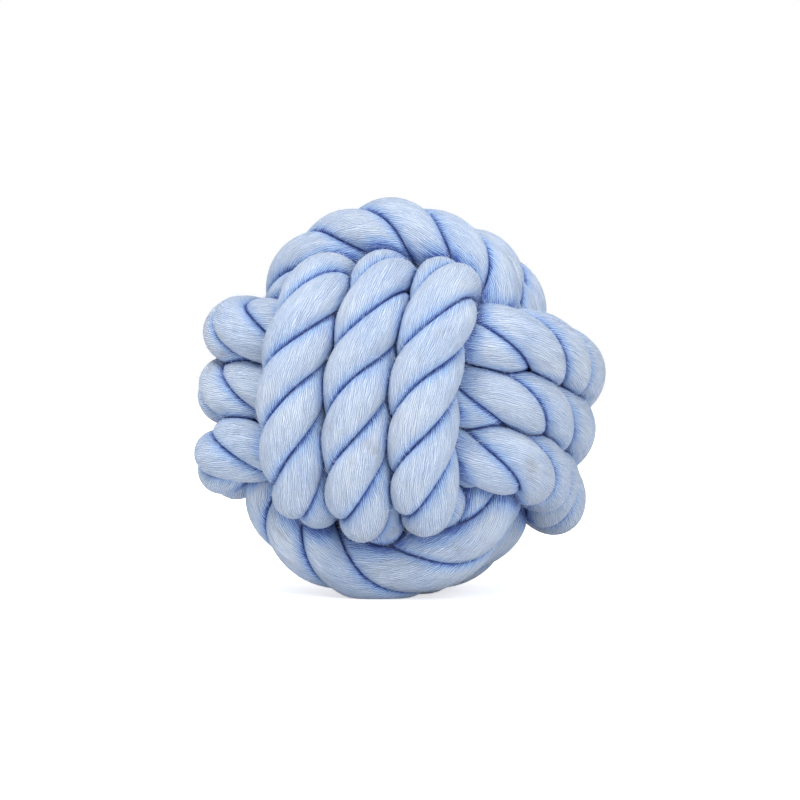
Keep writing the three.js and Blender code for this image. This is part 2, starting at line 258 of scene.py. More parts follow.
@dataclass(frozen=True)
class KnotRoute:
    """The rope's line through the knot, and how it settles against itself."""

    layer_spacing: float = 0.83 * ROPE_DIAMETER
    route_step: float = ROPE_DIAMETER / 7.5
    turn_step: float = 7.5
    tail_to: float = 1336.0
    core_radius: float = 0.7 * ROPE_DIAMETER
    core_degrees: float = 576.0
    core_step: float = 15.0
    core_start_height: float = -0.433 * ROPE_DIAMETER
    core_rise: float = 0.933 * ROPE_DIAMETER
    core_rise_start: float = 176.0
    core_rise_over: float = 300.0
    core_lead_shares: tuple[tuple[float, float, float], ...] = (
        (0.613, 0.4, 0.6), (0.4, 1.0, 0.77), (0.067, 1.4, 0.9)
    )
    upright_crossover_shares: tuple[tuple[float, float, float], ...] = (
        (1.85, 1.64, -1.27), (1.56, 2.05, -1.4), (1.2, 2.35, -1.1)
    )
    cross_crossover_shares: tuple[tuple[float, float, float], ...] = (
        (-1.02, 0.85, -1.62),
        (-1.18, 1.12, -1.5),
        (-1.4, 1.27, -1.22),
        (-1.57, 1.28, -0.85),
        (-1.65, 1.22, -0.48),
    )
    evening_rounds: int = 5
    settling_rounds: int = 60
    last_evening_rounds: int = 3
    evening_share: float = 0.5
    push_share: float = 0.8
    stiffness_share: float = 0.35
    hold_share: float = 0.035
    same_stretch: float = 1.34 * ROPE_DIAMETER
    counted_as_touching: float = 0.03 * ROPE_DIAMETER

    def core_points(self) -> np.ndarray:
        """Draws the coil that starts the rope in the middle of the ball.

        Returns:
            Its points.
        """
        degrees = np.arange(0.0, self.core_degrees + ROUND_OFF, self.core_step)
        angle = np.radians(degrees - self.core_degrees)
        rise = self.core_rise * smooth_share((degrees - self.core_rise_start) / self.core_rise_over)
        ring = [self.core_radius * np.cos(angle), self.core_radius * np.sin(angle)]
        return np.stack([*ring, self.core_start_height + rise], axis=1)

    def drawn(self) -> Line:
        """The rope before it settles.

        Returns:
            The points, the number of each point's stretch, and its angle in its band, or 0.
        """
        cross_tail_start = CROSS_BAND.end + self.turn_step
        parts = [
            self.core_points(),
            np.array(self.core_lead_shares) * ROPE_DIAMETER,
            LEVEL_BAND.points(LEVEL_BAND.start, LEVEL_BAND.end, self.turn_step),
            np.array(self.upright_crossover_shares) * ROPE_DIAMETER,
            UPRIGHT_BAND.points(UPRIGHT_BAND.start, UPRIGHT_BAND.end, self.turn_step),
            np.array(self.cross_crossover_shares) * ROPE_DIAMETER,
            CROSS_BAND.points(CROSS_BAND.start, CROSS_BAND.end, self.turn_step),
            CROSS_BAND.points(cross_tail_start, self.tail_to, self.turn_step),
        ]
        full = [part if isinstance(part, tuple) else (part, np.zeros(len(part))) for part in parts]
        stretches = [np.full(len(points), number) for number, (points, _) in enumerate(full)]
        return (
            np.vstack([points for points, _ in full]),
            np.concatenate(stretches).astype(float),
            np.concatenate([degrees for _, degrees in full]),
        )

    def settled(self, start: np.ndarray) -> np.ndarray:
        """Lets turns that lie too close push each other apart while the rope's stiffness evens it.

        Args:
            start: The evenly spaced points that the rope is held to.

        Returns:
            The settled points.
        """
        points = start.copy()
        skip = math.floor(self.same_stretch / self.route_step) + 1
        index = np.arange(len(points))
        apart = np.abs(index[:, None] - index[None, :]) >= skip
        for _ in range(self.settling_rounds):
            between = points[:, None, :] - points[None, :, :]
            distance = np.sqrt((between**2).sum(axis=2))
            close = apart & (distance < self.layer_spacing)
            touching = np.maximum(distance, self.counted_as_touching)
            strength = np.where(close, (self.layer_spacing - distance) / 2.0 / touching, 0.0)
            moves = (between * strength[:, :, None]).sum(axis=1)
            points = points + moves * (self.push_share / np.maximum(close.sum(axis=1), 1))[:, None]
            points = evened(points, self.stiffness_share)
            points = points + (start - points) * self.hold_share
        return points

    def line(self) -> Line:
        """Draws the rope and settles it.

        Returns:
            Its points, the number of each point's stretch, and its angle in its band.
        """
        points, stretches, degrees = even_steps(self.drawn(), self.route_step)
        for _ in range(self.evening_rounds):
            points = evened(points, self.evening_share)
        points = self.settled(points)
        for _ in range(self.last_evening_rounds):
            points = evened(points, self.evening_share)
        return even_steps((points, stretches, degrees), self.route_step)


@dataclass(frozen=True)
class LayMark:
    """A place on the rope, and how far its strands are turned there beyond an even lay, in turns."""

    stretch: Stretch
    degrees: float
    turned_share: float


@dataclass
class Tube:
    """One strand's line, with two directions across it that don't twist along the way."""

    centres: np.ndarray
    side: np.ndarray
    other: np.ndarray

    @classmethod
    def along(cls, points: np.ndarray) -> "Tube":
        """Carries a first direction across the line along it without a twist.

        Args:
            points: The line's points.

        Returns:
            The tube of that line.
        """
        along = np.gradient(points, axis=0)
        along /= np.linalg.norm(along, axis=1)[:, None]
        side = np.zeros_like(points)
        carried = np.cross(along[0], [0.0, 0.0, 1.0])
        for i, direction in enumerate(along):
            carried = carried - direction * (carried @ direction)
            carried /= np.linalg.norm(carried)
            side[i] = carried
        return cls(points, side, np.cross(along, side))


@dataclass(frozen=True)
class StrandLay:
    """How three strands are laid into the rope, right-handed, and pressed against what they touch."""

    strands: int = 3
    lay_length: float = 37.0
    strand_offset: float = 2.9
    strand_radius: float = 4.8
    strand_gap: float = 0.16
    softness: float = 0.24
    ring_step: float = 1.0
    sides: int = 40
    smoothing_rounds: int = 4
    same_strand: float = 9.0
    pressing_range: float = 15.0
    least_reach: float = 0.2
    least_distance: float = 0.1
    rounding_rounds: int = 1
    own_weight: float = 2.0
    neighbours: int = 4
    floor: float = -BALL_CENTRE[2]
    rings_at_once: int = 24
    # The next four set how far the painted shade of the cotton reaches from other strands.
    same_rope: float = 16.0
    shading_by_strands: float = 2.9
    shading_by_bands: float = 6.0
    overhang_share: float = 0.4
    marks: tuple[LayMark, ...] = (
        LayMark(Stretch.LEVEL_TURNS, 233.0, -0.19),
        LayMark(Stretch.LEVEL_TURNS, 355.0, -0.17),
        LayMark(Stretch.LEVEL_TURNS, 590.0, -0.07),
        LayMark(Stretch.LEVEL_TURNS, 668.0, -0.1),
        LayMark(Stretch.LEVEL_TURNS, 945.0, -0.06),
        LayMark(Stretch.LEVEL_TURNS, 1046.0, 0.11),
        LayMark(Stretch.UPRIGHT_TURNS, 150.0, -0.03),
        LayMark(Stretch.UPRIGHT_TURNS, 210.0, 0.03),
        LayMark(Stretch.UPRIGHT_TURNS, 500.0, -0.03),
        LayMark(Stretch.UPRIGHT_TURNS, 845.0, -0.04),
        LayMark(Stretch.UPRIGHT_TURNS, 917.0, 0.03),
        LayMark(Stretch.CROSS_TURNS, 1056.0, 0.11),
        LayMark(Stretch.CROSS_TURNS, 1118.0, 0.17),
        LayMark(Stretch.CROSS_TURNS, 1205.0, 0.22),
        LayMark(Stretch.CROSS_TURNS, 1240.0, 0.14),
        LayMark(Stretch.CROSS_TURNS, 1282.0, 0.04),
    )

    def turned(self, stretches: np.ndarray, degrees: np.ndarray) -> np.ndarray:
        """How far the lay has turned at each ring: evenly along the rope, apart from what the marks add.

        Args:
            stretches: The number of each ring's stretch.
            degrees: Each ring's angle in its band.

        Returns:
            The turn in radians.
        """
        numbers = {stretch: number for number, stretch in enumerate(Stretch)}
        rings, shares = [0], [0.0]
        for mark in self.marks:
            away = np.where(stretches == numbers[mark.stretch], np.abs(degrees - mark.degrees), np.inf)
            rings.append(int(away.argmin()))
            shares.append(mark.turned_share)
        order = np.arange(len(stretches))
        even = self.ring_step * order / self.lay_length
        return 2.0 * math.pi * (even + np.interp(order, rings, shares))

    def tubes(self, points: np.ndarray, turned: np.ndarray) -> list[Tube]:
        """Lays the strands round the rope.

        Args:
            points: The rope's line, one point for each ring.
            turned: How far the lay has turned at each ring.

        Returns:
            The strands' lines.
        """
        rope = Tube.along(points)
        out = []
        for number in range(self.strands):
            angle = turned + 2.0 * math.pi * number / self.strands
            aside = np.cos(angle)[:, None] * rope.side + np.sin(angle)[:, None] * rope.other
            out.append(Tube.along(rope.centres + self.strand_offset * aside))
        return out

    def directions(self, tube: Tube) -> np.ndarray:
        """Works out which way each corner lies from its ring's centre.

        Args:
            tube: The strand's line.

        Returns:
            A direction for each ring and corner.
        """
        angle = 2.0 * math.pi * np.arange(self.sides) / self.sides
        return (
            np.cos(angle)[None, :, None] * tube.side[:, None, :]
            + np.sin(angle)[None, :, None] * tube.other[:, None, :]
        )

    def free_reach(
        self, centres: np.ndarray, directions: np.ndarray, others: np.ndarray, mine: np.ndarray
    ) -> np.ndarray:
        """How far some rings may reach before they meet another strand halfway.

        Args:
            centres: The rings' centres.
            directions: The directions of the rings' corners.
            others: Points of the strands round them.
            mine: True where one of those points is the ring's own stretch of strand.

        Returns:
            The distance for each ring and corner.
        """
        offset = others[None, :, :] - centres[:, None, :]
        squared = (offset**2).sum(axis=2)
        squared = np.where(mine, np.inf, squared)
        towards = np.matmul(directions, offset.transpose(0, 2, 1))
        towards = np.maximum(towards, ALMOST_NONE)
        return (squared[:, None, :] / (2.0 * towards)).min(axis=2)

    def painted_shade(
        self, corners: np.ndarray, directions: np.ndarray, others: np.ndarray, distance: np.ndarray
    ) -> np.ndarray:
        """How closely some places on a strand are shut in by other strands, which sets the painted shade of the
        cotton there.

        Args:
            corners: The places, by ring and corner.
            directions: Which way the strand's surface faces there.
            others: Points of the strands round them.
            distance: By ring and point, how far from it that point's strand shades, or 0 where it is its own.

        Returns:
            1 where another strand touches, falling to 0 at the shading distance from the nearest. Another
            band counts only where it hangs over the surface.
        """
        squared = (corners**2).sum(axis=2)[:, :, None] + (others**2).sum(axis=1)[None, None, :]
        squared = np.maximum(squared - 2.0 * np.matmul(corners, others.T), self.least_distance**2)
        away = np.sqrt(squared)
        above = np.matmul(directions, others.T) - (directions * corners).sum(axis=2)[:, :, None]
        overhung = np.clip(above / away / self.overhang_share, 0.0, 1.0)
        reach = distance[:, None, :]
        gap = np.maximum(away - self.strand_radius, 0.0) / np.maximum(reach, self.shading_by_strands)
        near = np.where(reach == self.shading_by_bands, (1.0 - gap**2) * overhung, 1.0 - gap)
        return np.clip(np.where(reach == 0.0, 0.0, near).max(axis=2), 0.0, 1.0)

    def reaches(
        self, tubes: list[Tube], stretches: np.ndarray
    ) -> tuple[list[np.ndarray], list[np.ndarray]]:
        """How far each strand reaches from its line at each ring and corner, pressed as a soft strand is.

        Args:
            tubes: The strands' lines.
            stretches: The number of each ring's stretch.

        Returns:
            For each strand, the reach by ring and corner, and how closely each of those places is shut in,
            which sets its painted shade.
        """
        count = len(tubes[0].centres)
        centres = np.vstack([tube.centres for tube in tubes])
        owner = np.repeat(np.arange(len(tubes)), count)
        place = np.tile(np.arange(count) * self.ring_step, len(tubes))
        stretch = np.tile(stretches, len(tubes))
        reaches, shade_shares = [], []
        for number, tube in enumerate(tubes):
            directions = self.directions(tube)
            pressed = np.zeros((count, self.sides))
            shares = np.zeros((count, self.sides))
            surroundings = []
            for first in range(0, count, self.rings_at_once):
                rows = slice(first, first + self.rings_at_once)
                middle = tube.centres[rows].mean(axis=0)
                spread = np.linalg.norm(tube.centres[rows] - middle, axis=1).max()
                near = np.linalg.norm(centres - middle, axis=1) < spread + self.pressing_range
                along = np.abs(place[near][None, :] - place[:count][rows][:, None])
                own = (owner[near] == number)[None, :] & (along < self.same_strand)
                same_band = stretch[near][None, :] == stretches[rows][:, None]
                beside = same_band | (along < self.same_rope)
                distance = np.where(beside, self.shading_by_strands, self.shading_by_bands)
                surroundings.append((rows, centres[near], np.where(own, 0.0, distance)))
                pressed[rows] = self.free_reach(tube.centres[rows], directions[rows], centres[near], own)
            drop = np.maximum(-directions[:, :, 2], ALMOST_NONE)
            to_floor = (tube.centres[:, None, 2] - self.floor) / drop
            reach = self.softened(pressed - self.strand_gap / 2.0, to_floor)
            corners = tube.centres[:, None, :] + directions * reach[:, :, None]
            for rows, others, distance in surroundings:
                # How closely each place is shut in, which sets the painted shade of the cotton.
                shares[rows] = self.painted_shade(corners[rows], directions[rows], others, distance)
            reaches.append(reach)
            shade_shares.append(shares)
        return reaches, shade_shares

    def softened(self, pressed: np.ndarray, to_floor: np.ndarray) -> np.ndarray:
        """Rounds off where the free strand turns into its pressed flats.

        Args:
            pressed: The reach that the strands round it leave, by ring and corner.
            to_floor: The reach that the floor leaves.

        Returns:
            The soft strand's own reach.
        """
        limits = np.stack([np.full_like(pressed, self.strand_radius), pressed, to_floor])
        limits = np.maximum(limits, self.least_reach)
        reach = -self.softness * np.log(np.exp(-limits / self.softness).sum(axis=0))
        for _ in range(self.rounding_rounds):
            before = np.vstack([reach[:1], reach[:-1]])
            after = np.vstack([reach[1:], reach[-1:]])
            beside = np.roll(reach, 1, axis=1) + np.roll(reach, -1, axis=1)
            whole = self.own_weight * reach + before + after + beside
            reach = np.minimum(reach, whole / (self.own_weight + self.neighbours))
        return reach


def linear(colour: str) -> tuple[float, float, float, float]:
    """Turns an sRGB colour into a linear one.

    Args:
        colour: The colour as # and six hex digits.

    Returns:
        Linear red, green, blue and alpha.
    """
    shares = [int(colour[i : i + 2], 16) / 255.0 for i in (1, 3, 5)]
    light = [s / 12.92 if s <= 0.04045 else ((s + 0.055) / 1.055) ** 2.4 for s in shares]
    return (*light, 1.0)


def add_node(
    tree: bpy.types.NodeTree,
    kind: str,
    settings: NodeSettings | None = None,
    links: NodeLinks | None = None,
) -> bpy.types.Node:
    """Adds a node to a tree.

    Args:
        tree: The tree.
        kind: The node's type.
        settings: Values by property name, or by input name or number.
        links: Output sockets by the input name or number that each goes to. A node stands for its first.

    Returns:
        The node.
    """
    node = tree.nodes.new(kind)
    inputs = {}
    for name, value in (settings or {}).items():
        if isinstance(name, str) and hasattr(node, name):
            setattr(node, name, value)
        else:
            inputs[name] = value
    for name, value in inputs.items():
        node.inputs[name].default_value = value
    for name, source in (links or {}).items():
        socket = source.outputs[0] if isinstance(source, bpy.types.Node) else source
        tree.links.new(socket, node.inputs[name])
    return node


@dataclass(frozen=True)
class CottonStrandFinish:
    """Soft-spun, dyed cotton, laid in strands of fine yarns: dull, with a faint bloom from loose fibre ends.

    The yarns lie along the rope, so they cross each strand at a slant. Real ones are about 0.3 mm thick, and
    these are spaced wider so that they show at the picture's size. The cotton's own colour is pale, and
    painted shade turns it deep blue where strands shut each other in, and darker in the gaps between yarns.
    Sizes of a pattern are in millimetres, and a range says between which values of its measure a layer comes
    in.
    """

    colour: str = "#BDCDE2"
    worn_colour: str = "#CED8E4"
    wear_patch: float = 13.333
    worn_range: tuple[float, float] = (0.38, 0.66)
    soil_colour: str = "#A6ABB6"
    soil_patch: float = 20.833
    soiled_range: tuple[float, float] = (0.57, 0.72)
    soil_share: float = 0.7
    # Painted shade: the next two colours deepen the blue where other strands shut the cotton in, more so in the
    # yarns' gaps.
    ridge_shade_share: float = -0.12
    shaded_colour: str = "#9ABCE8"
    shaded_range: tuple[float, float] = (-0.03, 0.82)
    crease_shade_colour: str = "#0A48B6"
    crease_shade_range: tuple[float, float] = (0.57, 0.93)
    # Painted shade: the gaps between yarns are tinted darker with this colour.
    yarn_gap_shade_colour: str = "#A3B3D2"
    strand_radius: float = StrandLay.strand_radius
    yarn_spacing: float = 0.43
    yarn_height: float = 1.35
    wander_length: float = 2.2222
    wander_yarns: float = 3.0
    streak_width: float = 0.34483
    streak_slenderness: float = 0.13
    streak_range: tuple[float, float] = (0.3, 0.7)
    streak_height: float = 1.4
    crown_range: tuple[float, float] = (0.4, 2.3)
    bump_depth: float = 0.2
    bump_strength: float = 0.9
    roughness: float = 0.92
    sheen_weight: float = 0.12
    sheen_roughness: float = 0.5
    ior: float = 1.45

    def material(self) -> bpy.types.Material:
        """Makes the cotton.

        Returns:
            The material with its nodes.
        """
        material = bpy.data.materials.new("soft_spun_cotton_strand")
        material.use_nodes = True
        tree = material.node_tree
        tree.nodes.clear()
        place = add_node(tree, "ShaderNodeAttribute", {"attribute_name": "yarn_place"})
        height, painted_gap_shade = self.yarns(tree, place.outputs["Vector"])
        toned = add_node(
            tree,
            "ShaderNodeMix",
            {"data_type": "RGBA", "blend_type": "MULTIPLY", MIX_SHARE: 1.0},
            {MIX_FIRST: self.worn_soiled_and_shaded(tree, height), MIX_SECOND: painted_gap_shade},
        )
        bump = add_node(
            tree,
            "ShaderNodeBump",
            {"Strength": self.bump_strength, "Distance": self.bump_depth * METRES},
            {"Height": height},
        )
        shader = add_node(
            tree,
            "ShaderNodeBsdfPrincipled",
            {
                "Roughness": self.roughness,
                "IOR": self.ior,
                "Sheen Weight": self.sheen_weight,
                "Sheen Roughness": self.sheen_roughness,
            },
            {"Base Color": toned.outputs[MIXED], "Normal": bump},
        )
        add_node(tree, "ShaderNodeOutputMaterial", links={"Surface": shader})
        return material

    def worn_soiled_and_shaded(self, tree: bpy.types.NodeTree, height: bpy.types.Node) -> bpy.types.NodeSocket:
        """Colours the cotton: worn paler in patches, soiled in a few spots, and with painted shade, deeper blue
        where other strands shut it in.

        Args:
            tree: The material's tree.
            height: The height of the yarns.

        Returns:
            The colour with its painted shade, before the painted shade of the yarns' gaps.
        """
        where = add_node(tree, "ShaderNodeTexCoord").outputs["Object"]
        wear = add_node(
            tree,
            "ShaderNodeTexNoise",
            {"Scale": 1.0 / (self.wear_patch * METRES), "Detail": 3.0, "Roughness": 0.6},
            {"Vector": where},
        )
        worn = add_node(tree, "ShaderNodeMapRange", dict(zip(FROM, self.worn_range)), {"Value": wear})
        clean = add_node(
            tree,
            "ShaderNodeMix",
            {"data_type": "RGBA", MIX_FIRST: linear(self.colour), MIX_SECOND: linear(self.worn_colour)},
            {MIX_SHARE: worn},
        )
        soiling = add_node(
            tree,
            "ShaderNodeTexNoise",
            {"Scale": 1.0 / (self.soil_patch * METRES), "Detail": 4.0, "Roughness": 0.65},
            {"Vector": where},
        )
        # Painted shade: deeper blue where other strands shut the cotton in, and more so in the yarns' gaps.
        painted_shade = add_node(tree, "ShaderNodeAttribute", {"attribute_name": "painted_shade_share"})
        shade_measure = add_node(
            tree,
            "ShaderNodeMath",
            {"operation": "MULTIPLY_ADD", 1: self.ridge_shade_share},
            {0: height, 2: painted_shade.outputs["Fac"]},
        )
        tone = clean.outputs[MIXED]
        for measure, limits, most, colour in (
            (soiling, self.soiled_range, self.soil_share, self.soil_colour),
            (shade_measure, self.shaded_range, 1.0, self.shaded_colour),
            (shade_measure, self.crease_shade_range, 1.0, self.crease_shade_colour),
        ):
            settings = {"interpolation_type": "SMOOTHSTEP", "To Max": most} | dict(zip(FROM, limits))
            share = add_node(tree, "ShaderNodeMapRange", settings, {"Value": measure})
            settings = {"data_type": "RGBA", MIX_SECOND: linear(colour)}
            layer = add_node(tree, "ShaderNodeMix", settings, {MIX_SHARE: share, MIX_FIRST: tone})
            tone = layer.outputs[MIXED]
        return tone

    def yarns(
        self, tree: bpy.types.NodeTree, place: bpy.types.NodeSocket
    ) -> tuple[bpy.types.Node, bpy.types.NodeSocket]:
        """Adds the yarns that a strand is made of, and the brushed fibres on them.

        Args:
            tree: The material's tree.
            place: The place on the strand with its yarns laid straight, in millimetres.

        Returns:
            The height of the yarns, and the painted shade in their gaps.
        """
        axes = add_node(tree, "ShaderNodeSeparateXYZ", links={0: place}).outputs
        wander = add_node(
            tree,
            "ShaderNodeTexNoise",
            {"Scale": 1.0 / self.wander_length, "Detail": 3.0, "Roughness": 0.6},
            {"Vector": place},
        )
        angle = add_node(tree, "ShaderNodeMath", {"operation": "ARCTAN2"}, {0: axes["Y"], 1: axes["X"]})
        girth = 2.0 * math.pi * self.strand_radius
        per_radian = round(girth / self.yarn_spacing) / (2.0 * math.pi)
        count = add_node(tree, "ShaderNodeMath", {"operation": "MULTIPLY", 1: per_radian}, {0: angle})
        number = add_node(
            tree,
            "ShaderNodeMath",
            {"operation": "MULTIPLY_ADD", 1: self.wander_yarns},
            {0: wander, 2: count},
        )
        half_turn = add_node(tree, "ShaderNodeMath", {"operation": "MULTIPLY", 1: math.pi}, {0: number})
        wave = add_node(tree, "ShaderNodeMath", {"operation": "SINE"}, {0: half_turn})
        ridge = add_node(tree, "ShaderNodeMath", {"operation": "ABSOLUTE"}, {0: wave})
        stretched = add_node(
            tree,
            "ShaderNodeVectorMath",
            {"operation": "MULTIPLY", 1: (1.0, 1.0, self.streak_slenderness)},
            {0: place},
        )
        streaks = add_node(
            tree,
            "ShaderNodeTexNoise",
            {"Scale": 1.0 / self.streak_width, "Detail": 4.0, "Roughness": 0.75, "Distortion": 0.3},
            {"Vector": stretched},
        )
        sharp = add_node(
            tree,
            "ShaderNodeMapRange",
            {"To Max": self.streak_height, "clamp": False} | dict(zip(FROM, self.streak_range)),
            {"Value": streaks},
        )
        height = add_node(
            tree, "ShaderNodeMath", {"operation": "MULTIPLY_ADD", 1: self.yarn_height}, {0: ridge, 2: sharp}
        )
        crown = add_node(tree, "ShaderNodeMapRange", dict(zip(FROM, self.crown_range)), {"Value": height})
        # Painted shade: darker in the gaps between yarns, full colour on their crowns.
        painted_gap_shade = add_node(
            tree,
            "ShaderNodeMix",
            {"data_type": "RGBA", MIX_FIRST: linear(self.yarn_gap_shade_colour), MIX_SECOND: WHITE},
            {MIX_SHARE: crown},
        )
        return height, painted_gap_shade.outputs[MIXED]


@dataclass(frozen=True)
class LooseFibreFinish:
    """Single cotton fibres: pale, fine and translucent, so they catch the light along edges."""

    colour: str = "#CFDEF8"
    tone_patch: float = 4.545
    tones: tuple[float, float] = (0.75, 1.1)
    roughness: float = 0.8
    sheen_weight: float = 0.2

    def material(self) -> bpy.types.Material:
        """Makes the fibres' cotton.

        Returns:
            The material with its nodes.
        """
        material = bpy.data.materials.new("loose_cotton_fibre")
        material.use_nodes = True
        tree = material.node_tree
        tree.nodes.clear()
        vary = add_node(
            tree,
            "ShaderNodeTexNoise",
            {"Scale": 1.0 / (self.tone_patch * METRES), "Detail": 1.0},
            {"Vector": add_node(tree, "ShaderNodeTexCoord").outputs["Object"]},
        )
        tone = add_node(tree, "ShaderNodeMapRange", dict(zip(TO, self.tones)), {"Value": vary})
        colour = add_node(
            tree,
            "ShaderNodeMix",
            {"data_type": "RGBA", "blend_type": "MULTIPLY", MIX_SHARE: 1.0, MIX_FIRST: linear(self.colour)},
            {MIX_SECOND: tone},
        )
        shader = add_node(
            tree,
            "ShaderNodeBsdfPrincipled",
            {"Roughness": self.roughness, "Sheen Weight": self.sheen_weight},
            {"Base Color": colour.outputs[MIXED]},
        )
        add_node(tree, "ShaderNodeOutputMaterial", links={"Surface": shader})
        return material


@dataclass
class StrandShell:
    """One strand of a stretch as a closed tube, with its end caps last.

    place is where each corner lies on the strand with its yarns laid straight. Its painted shade share says how
    closely other strands shut it in, which sets the painted shade of the cotton, and open_share says how free
    it is for loose fibres.
    """

    vertices: np.ndarray
    quads: np.ndarray
    caps: np.ndarray
    place: np.ndarray
    painted_shade: np.ndarray
    open_share: np.ndarray


@dataclass
class RopeBall:
    """The whole ball: the settled line, its strands, and the pieces made from them."""

    route: KnotRoute = field(default_factory=KnotRoute)
    lay: StrandLay = field(default_factory=StrandLay)
    strand_finish: CottonStrandFinish = field(default_factory=CottonStrandFinish)
    seam_inset: float = 0.03
    yarn_circle: float = 5.0
    bare_above_floor: float = 2.6
    open_from_share: float = 0.9
    open_over_share: float = 0.07
    strip_margin: float = 0.02
    disc_fill: float = 0.46

    def build(self) -> dict[Stretch, bpy.types.Object]:
        """Makes a piece for each stretch of the rope, each with its three strands.

        Returns:
            The pieces by stretch.
        """
        fine, stretches, degrees = even_steps(self.route.line(), self.lay.ring_step)
        for _ in range(self.lay.smoothing_rounds):
            fine = evened(fine, self.route.evening_share)
        LOG.info("rope line: %d rings, %.0f mm", len(fine), self.lay.ring_step * (len(fine) - 1))
        tubes = self.lay.tubes(fine, self.lay.turned(stretches, degrees))
        strands = list(zip(tubes, *self.lay.reaches(tubes, stretches)))
        material = self.strand_finish.material()
        pieces = {}
        for number, stretch in enumerate(Stretch):
            rings = np.flatnonzero(stretches == number)
            last = min(rings[-1] + 1, len(fine) - 1)
            pieces[stretch] = self.piece(stretch, rings[0], last, strands, material)
        return pieces

    def piece(
        self,
        stretch: Stretch,
        first: int,
        last: int,
        strands: list[tuple[Tube, np.ndarray, np.ndarray]],
        material: bpy.types.Material,
    ) -> bpy.types.Object:
        """Makes one stretch of the rope as closed strands that run a little way into the next stretch.

        Args:
            stretch: The stretch.
            first: Its first ring.
            last: Its last ring.
            strands: Each strand's line, its reaches, and how closely it is shut in, which sets its painted
                shade.
            material: The strands' material.

        Returns:
            The piece, which rides on the ball and stands for the solid of that stretch.
        """
        shells = [self.shell(*strand, first, last) for strand in strands]
        vertices = np.vstack([shell.vertices for shell in shells])
        counts = np.cumsum([0] + [len(shell.vertices) for shell in shells])
        quads = np.vstack([shell.quads + start for shell, start in zip(shells, counts)])
        caps = np.vstack([shell.caps + start for shell, start in zip(shells, counts)])
        mesh = bpy.data.meshes.new(stretch.value + "_rope")
        faces = [tuple(quad) for quad in quads.tolist()] + [tuple(cap) for cap in caps.tolist()]
        mesh.from_pydata(((vertices + BALL_CENTRE) * METRES).tolist(), [], faces)
        for name, kind, values in (
            ("yarn_place", "FLOAT_VECTOR", np.vstack([shell.place for shell in shells])),
            # Painted shade: how closely each place is shut in, which the cotton's colour reads.
            ("painted_shade_share", "FLOAT", np.concatenate([shell.painted_shade for shell in shells])),
            ("open_share", "FLOAT", np.concatenate([shell.open_share for shell in shells])),
        ):
            attribute = mesh.attributes.new(name, kind, "POINT")
            key = "vector" if kind == "FLOAT_VECTOR" else "value"
            attribute.data.foreach_set(key, values.astype(np.float32).ravel())
        strips = self.strips(len(quads) // (self.lay.sides * len(shells)), len(shells))
        mesh.uv_layers.new(name=STRIP_MAP).data.foreach_set("uv", strips.astype(np.float32).ravel())
        mesh.shade_smooth()
        mesh.materials.append(material)
        piece = bpy.data.objects.new(stretch.value + "_rope", mesh)
        bpy.context.scene.collection.objects.link(piece)
        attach(piece, "root")
        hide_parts(stretch.value)
        return piece

    def shell(
        self, tube: Tube, reach: np.ndarray, painted_shade: np.ndarray, first: int, last: int
    ) -> StrandShell:
        """Makes one strand of a stretch.

        Its first and last ring lie inside the neighbouring stretch, a little below that one's surface, so
        that no seam shows where two stretches meet.

        Args:
            tube: The strand's line.
            reach: The strand's reach.
            painted_shade: How closely each place on it is shut in by other strands, which sets its painted
                shade.
            first: The stretch's first ring.
            last: The stretch's last ring.

        Returns:
            The closed strand.
        """
        sides = self.lay.sides
        rings = np.arange(max(first - 1, 0), min(last + 1, len(reach) - 1) + 1)
        inset = np.where((rings < first) | (rings > last), self.seam_inset, 0.0)
        directions = self.lay.directions(tube)[rings]
        grown = reach[rings] - inset[:, None]
        corners = tube.centres[rings][:, None, :] + directions * grown[:, :, None]
        ends = tube.centres[rings[[0, -1]]]
        vertices = np.vstack([corners.reshape(-1, 3), ends])
        ring, corner = np.meshgrid(np.arange(len(rings) - 1), np.arange(sides), indexing="ij")
        here = ring * sides + corner
        beside = ring * sides + (corner + 1) % sides
        quads = np.stack([here, beside, beside + sides, here + sides], axis=2).reshape(-1, 4)
        around = np.arange(sides)
        onward = (around + 1) % sides
        start, end = len(vertices) - 2, len(vertices) - 1
        top = (len(rings) - 1) * sides
        caps = np.vstack(
            [
                np.stack([onward, around, np.full(sides, start)], axis=1),
                np.stack([top + around, top + onward, np.full(sides, end)], axis=1),
            ]
        )
        twist = self.yarn_twist() * self.lay.ring_step * rings
        angle = 2.0 * math.pi * np.arange(sides)[None, :] / sides + twist[:, None]
        place = np.stack(
            [
                self.yarn_circle * np.cos(angle),
                self.yarn_circle * np.sin(angle),
                np.repeat(self.lay.ring_step * rings[:, None], sides, axis=1),
            ],
            axis=2,
        ).reshape(-1, 3)
        free = (reach[rings] / self.lay.strand_radius - self.open_from_share) / self.open_over_share
        outward = (directions * corners).sum(axis=2) / np.linalg.norm(corners, axis=2)
        above_floor = corners[:, :, 2] - self.lay.floor
        bare = (outward <= 0.0) | (above_floor < self.bare_above_floor)
        open_share = np.where(bare, 0.0, smooth_share(free))
        return StrandShell(
            vertices,
            quads,
            caps,
            place=np.vstack([place, np.zeros_like(ends)]),
            painted_shade=np.append(painted_shade[rings], np.zeros(len(ends))),
            open_share=np.append(open_share, np.zeros(len(ends))),
        )

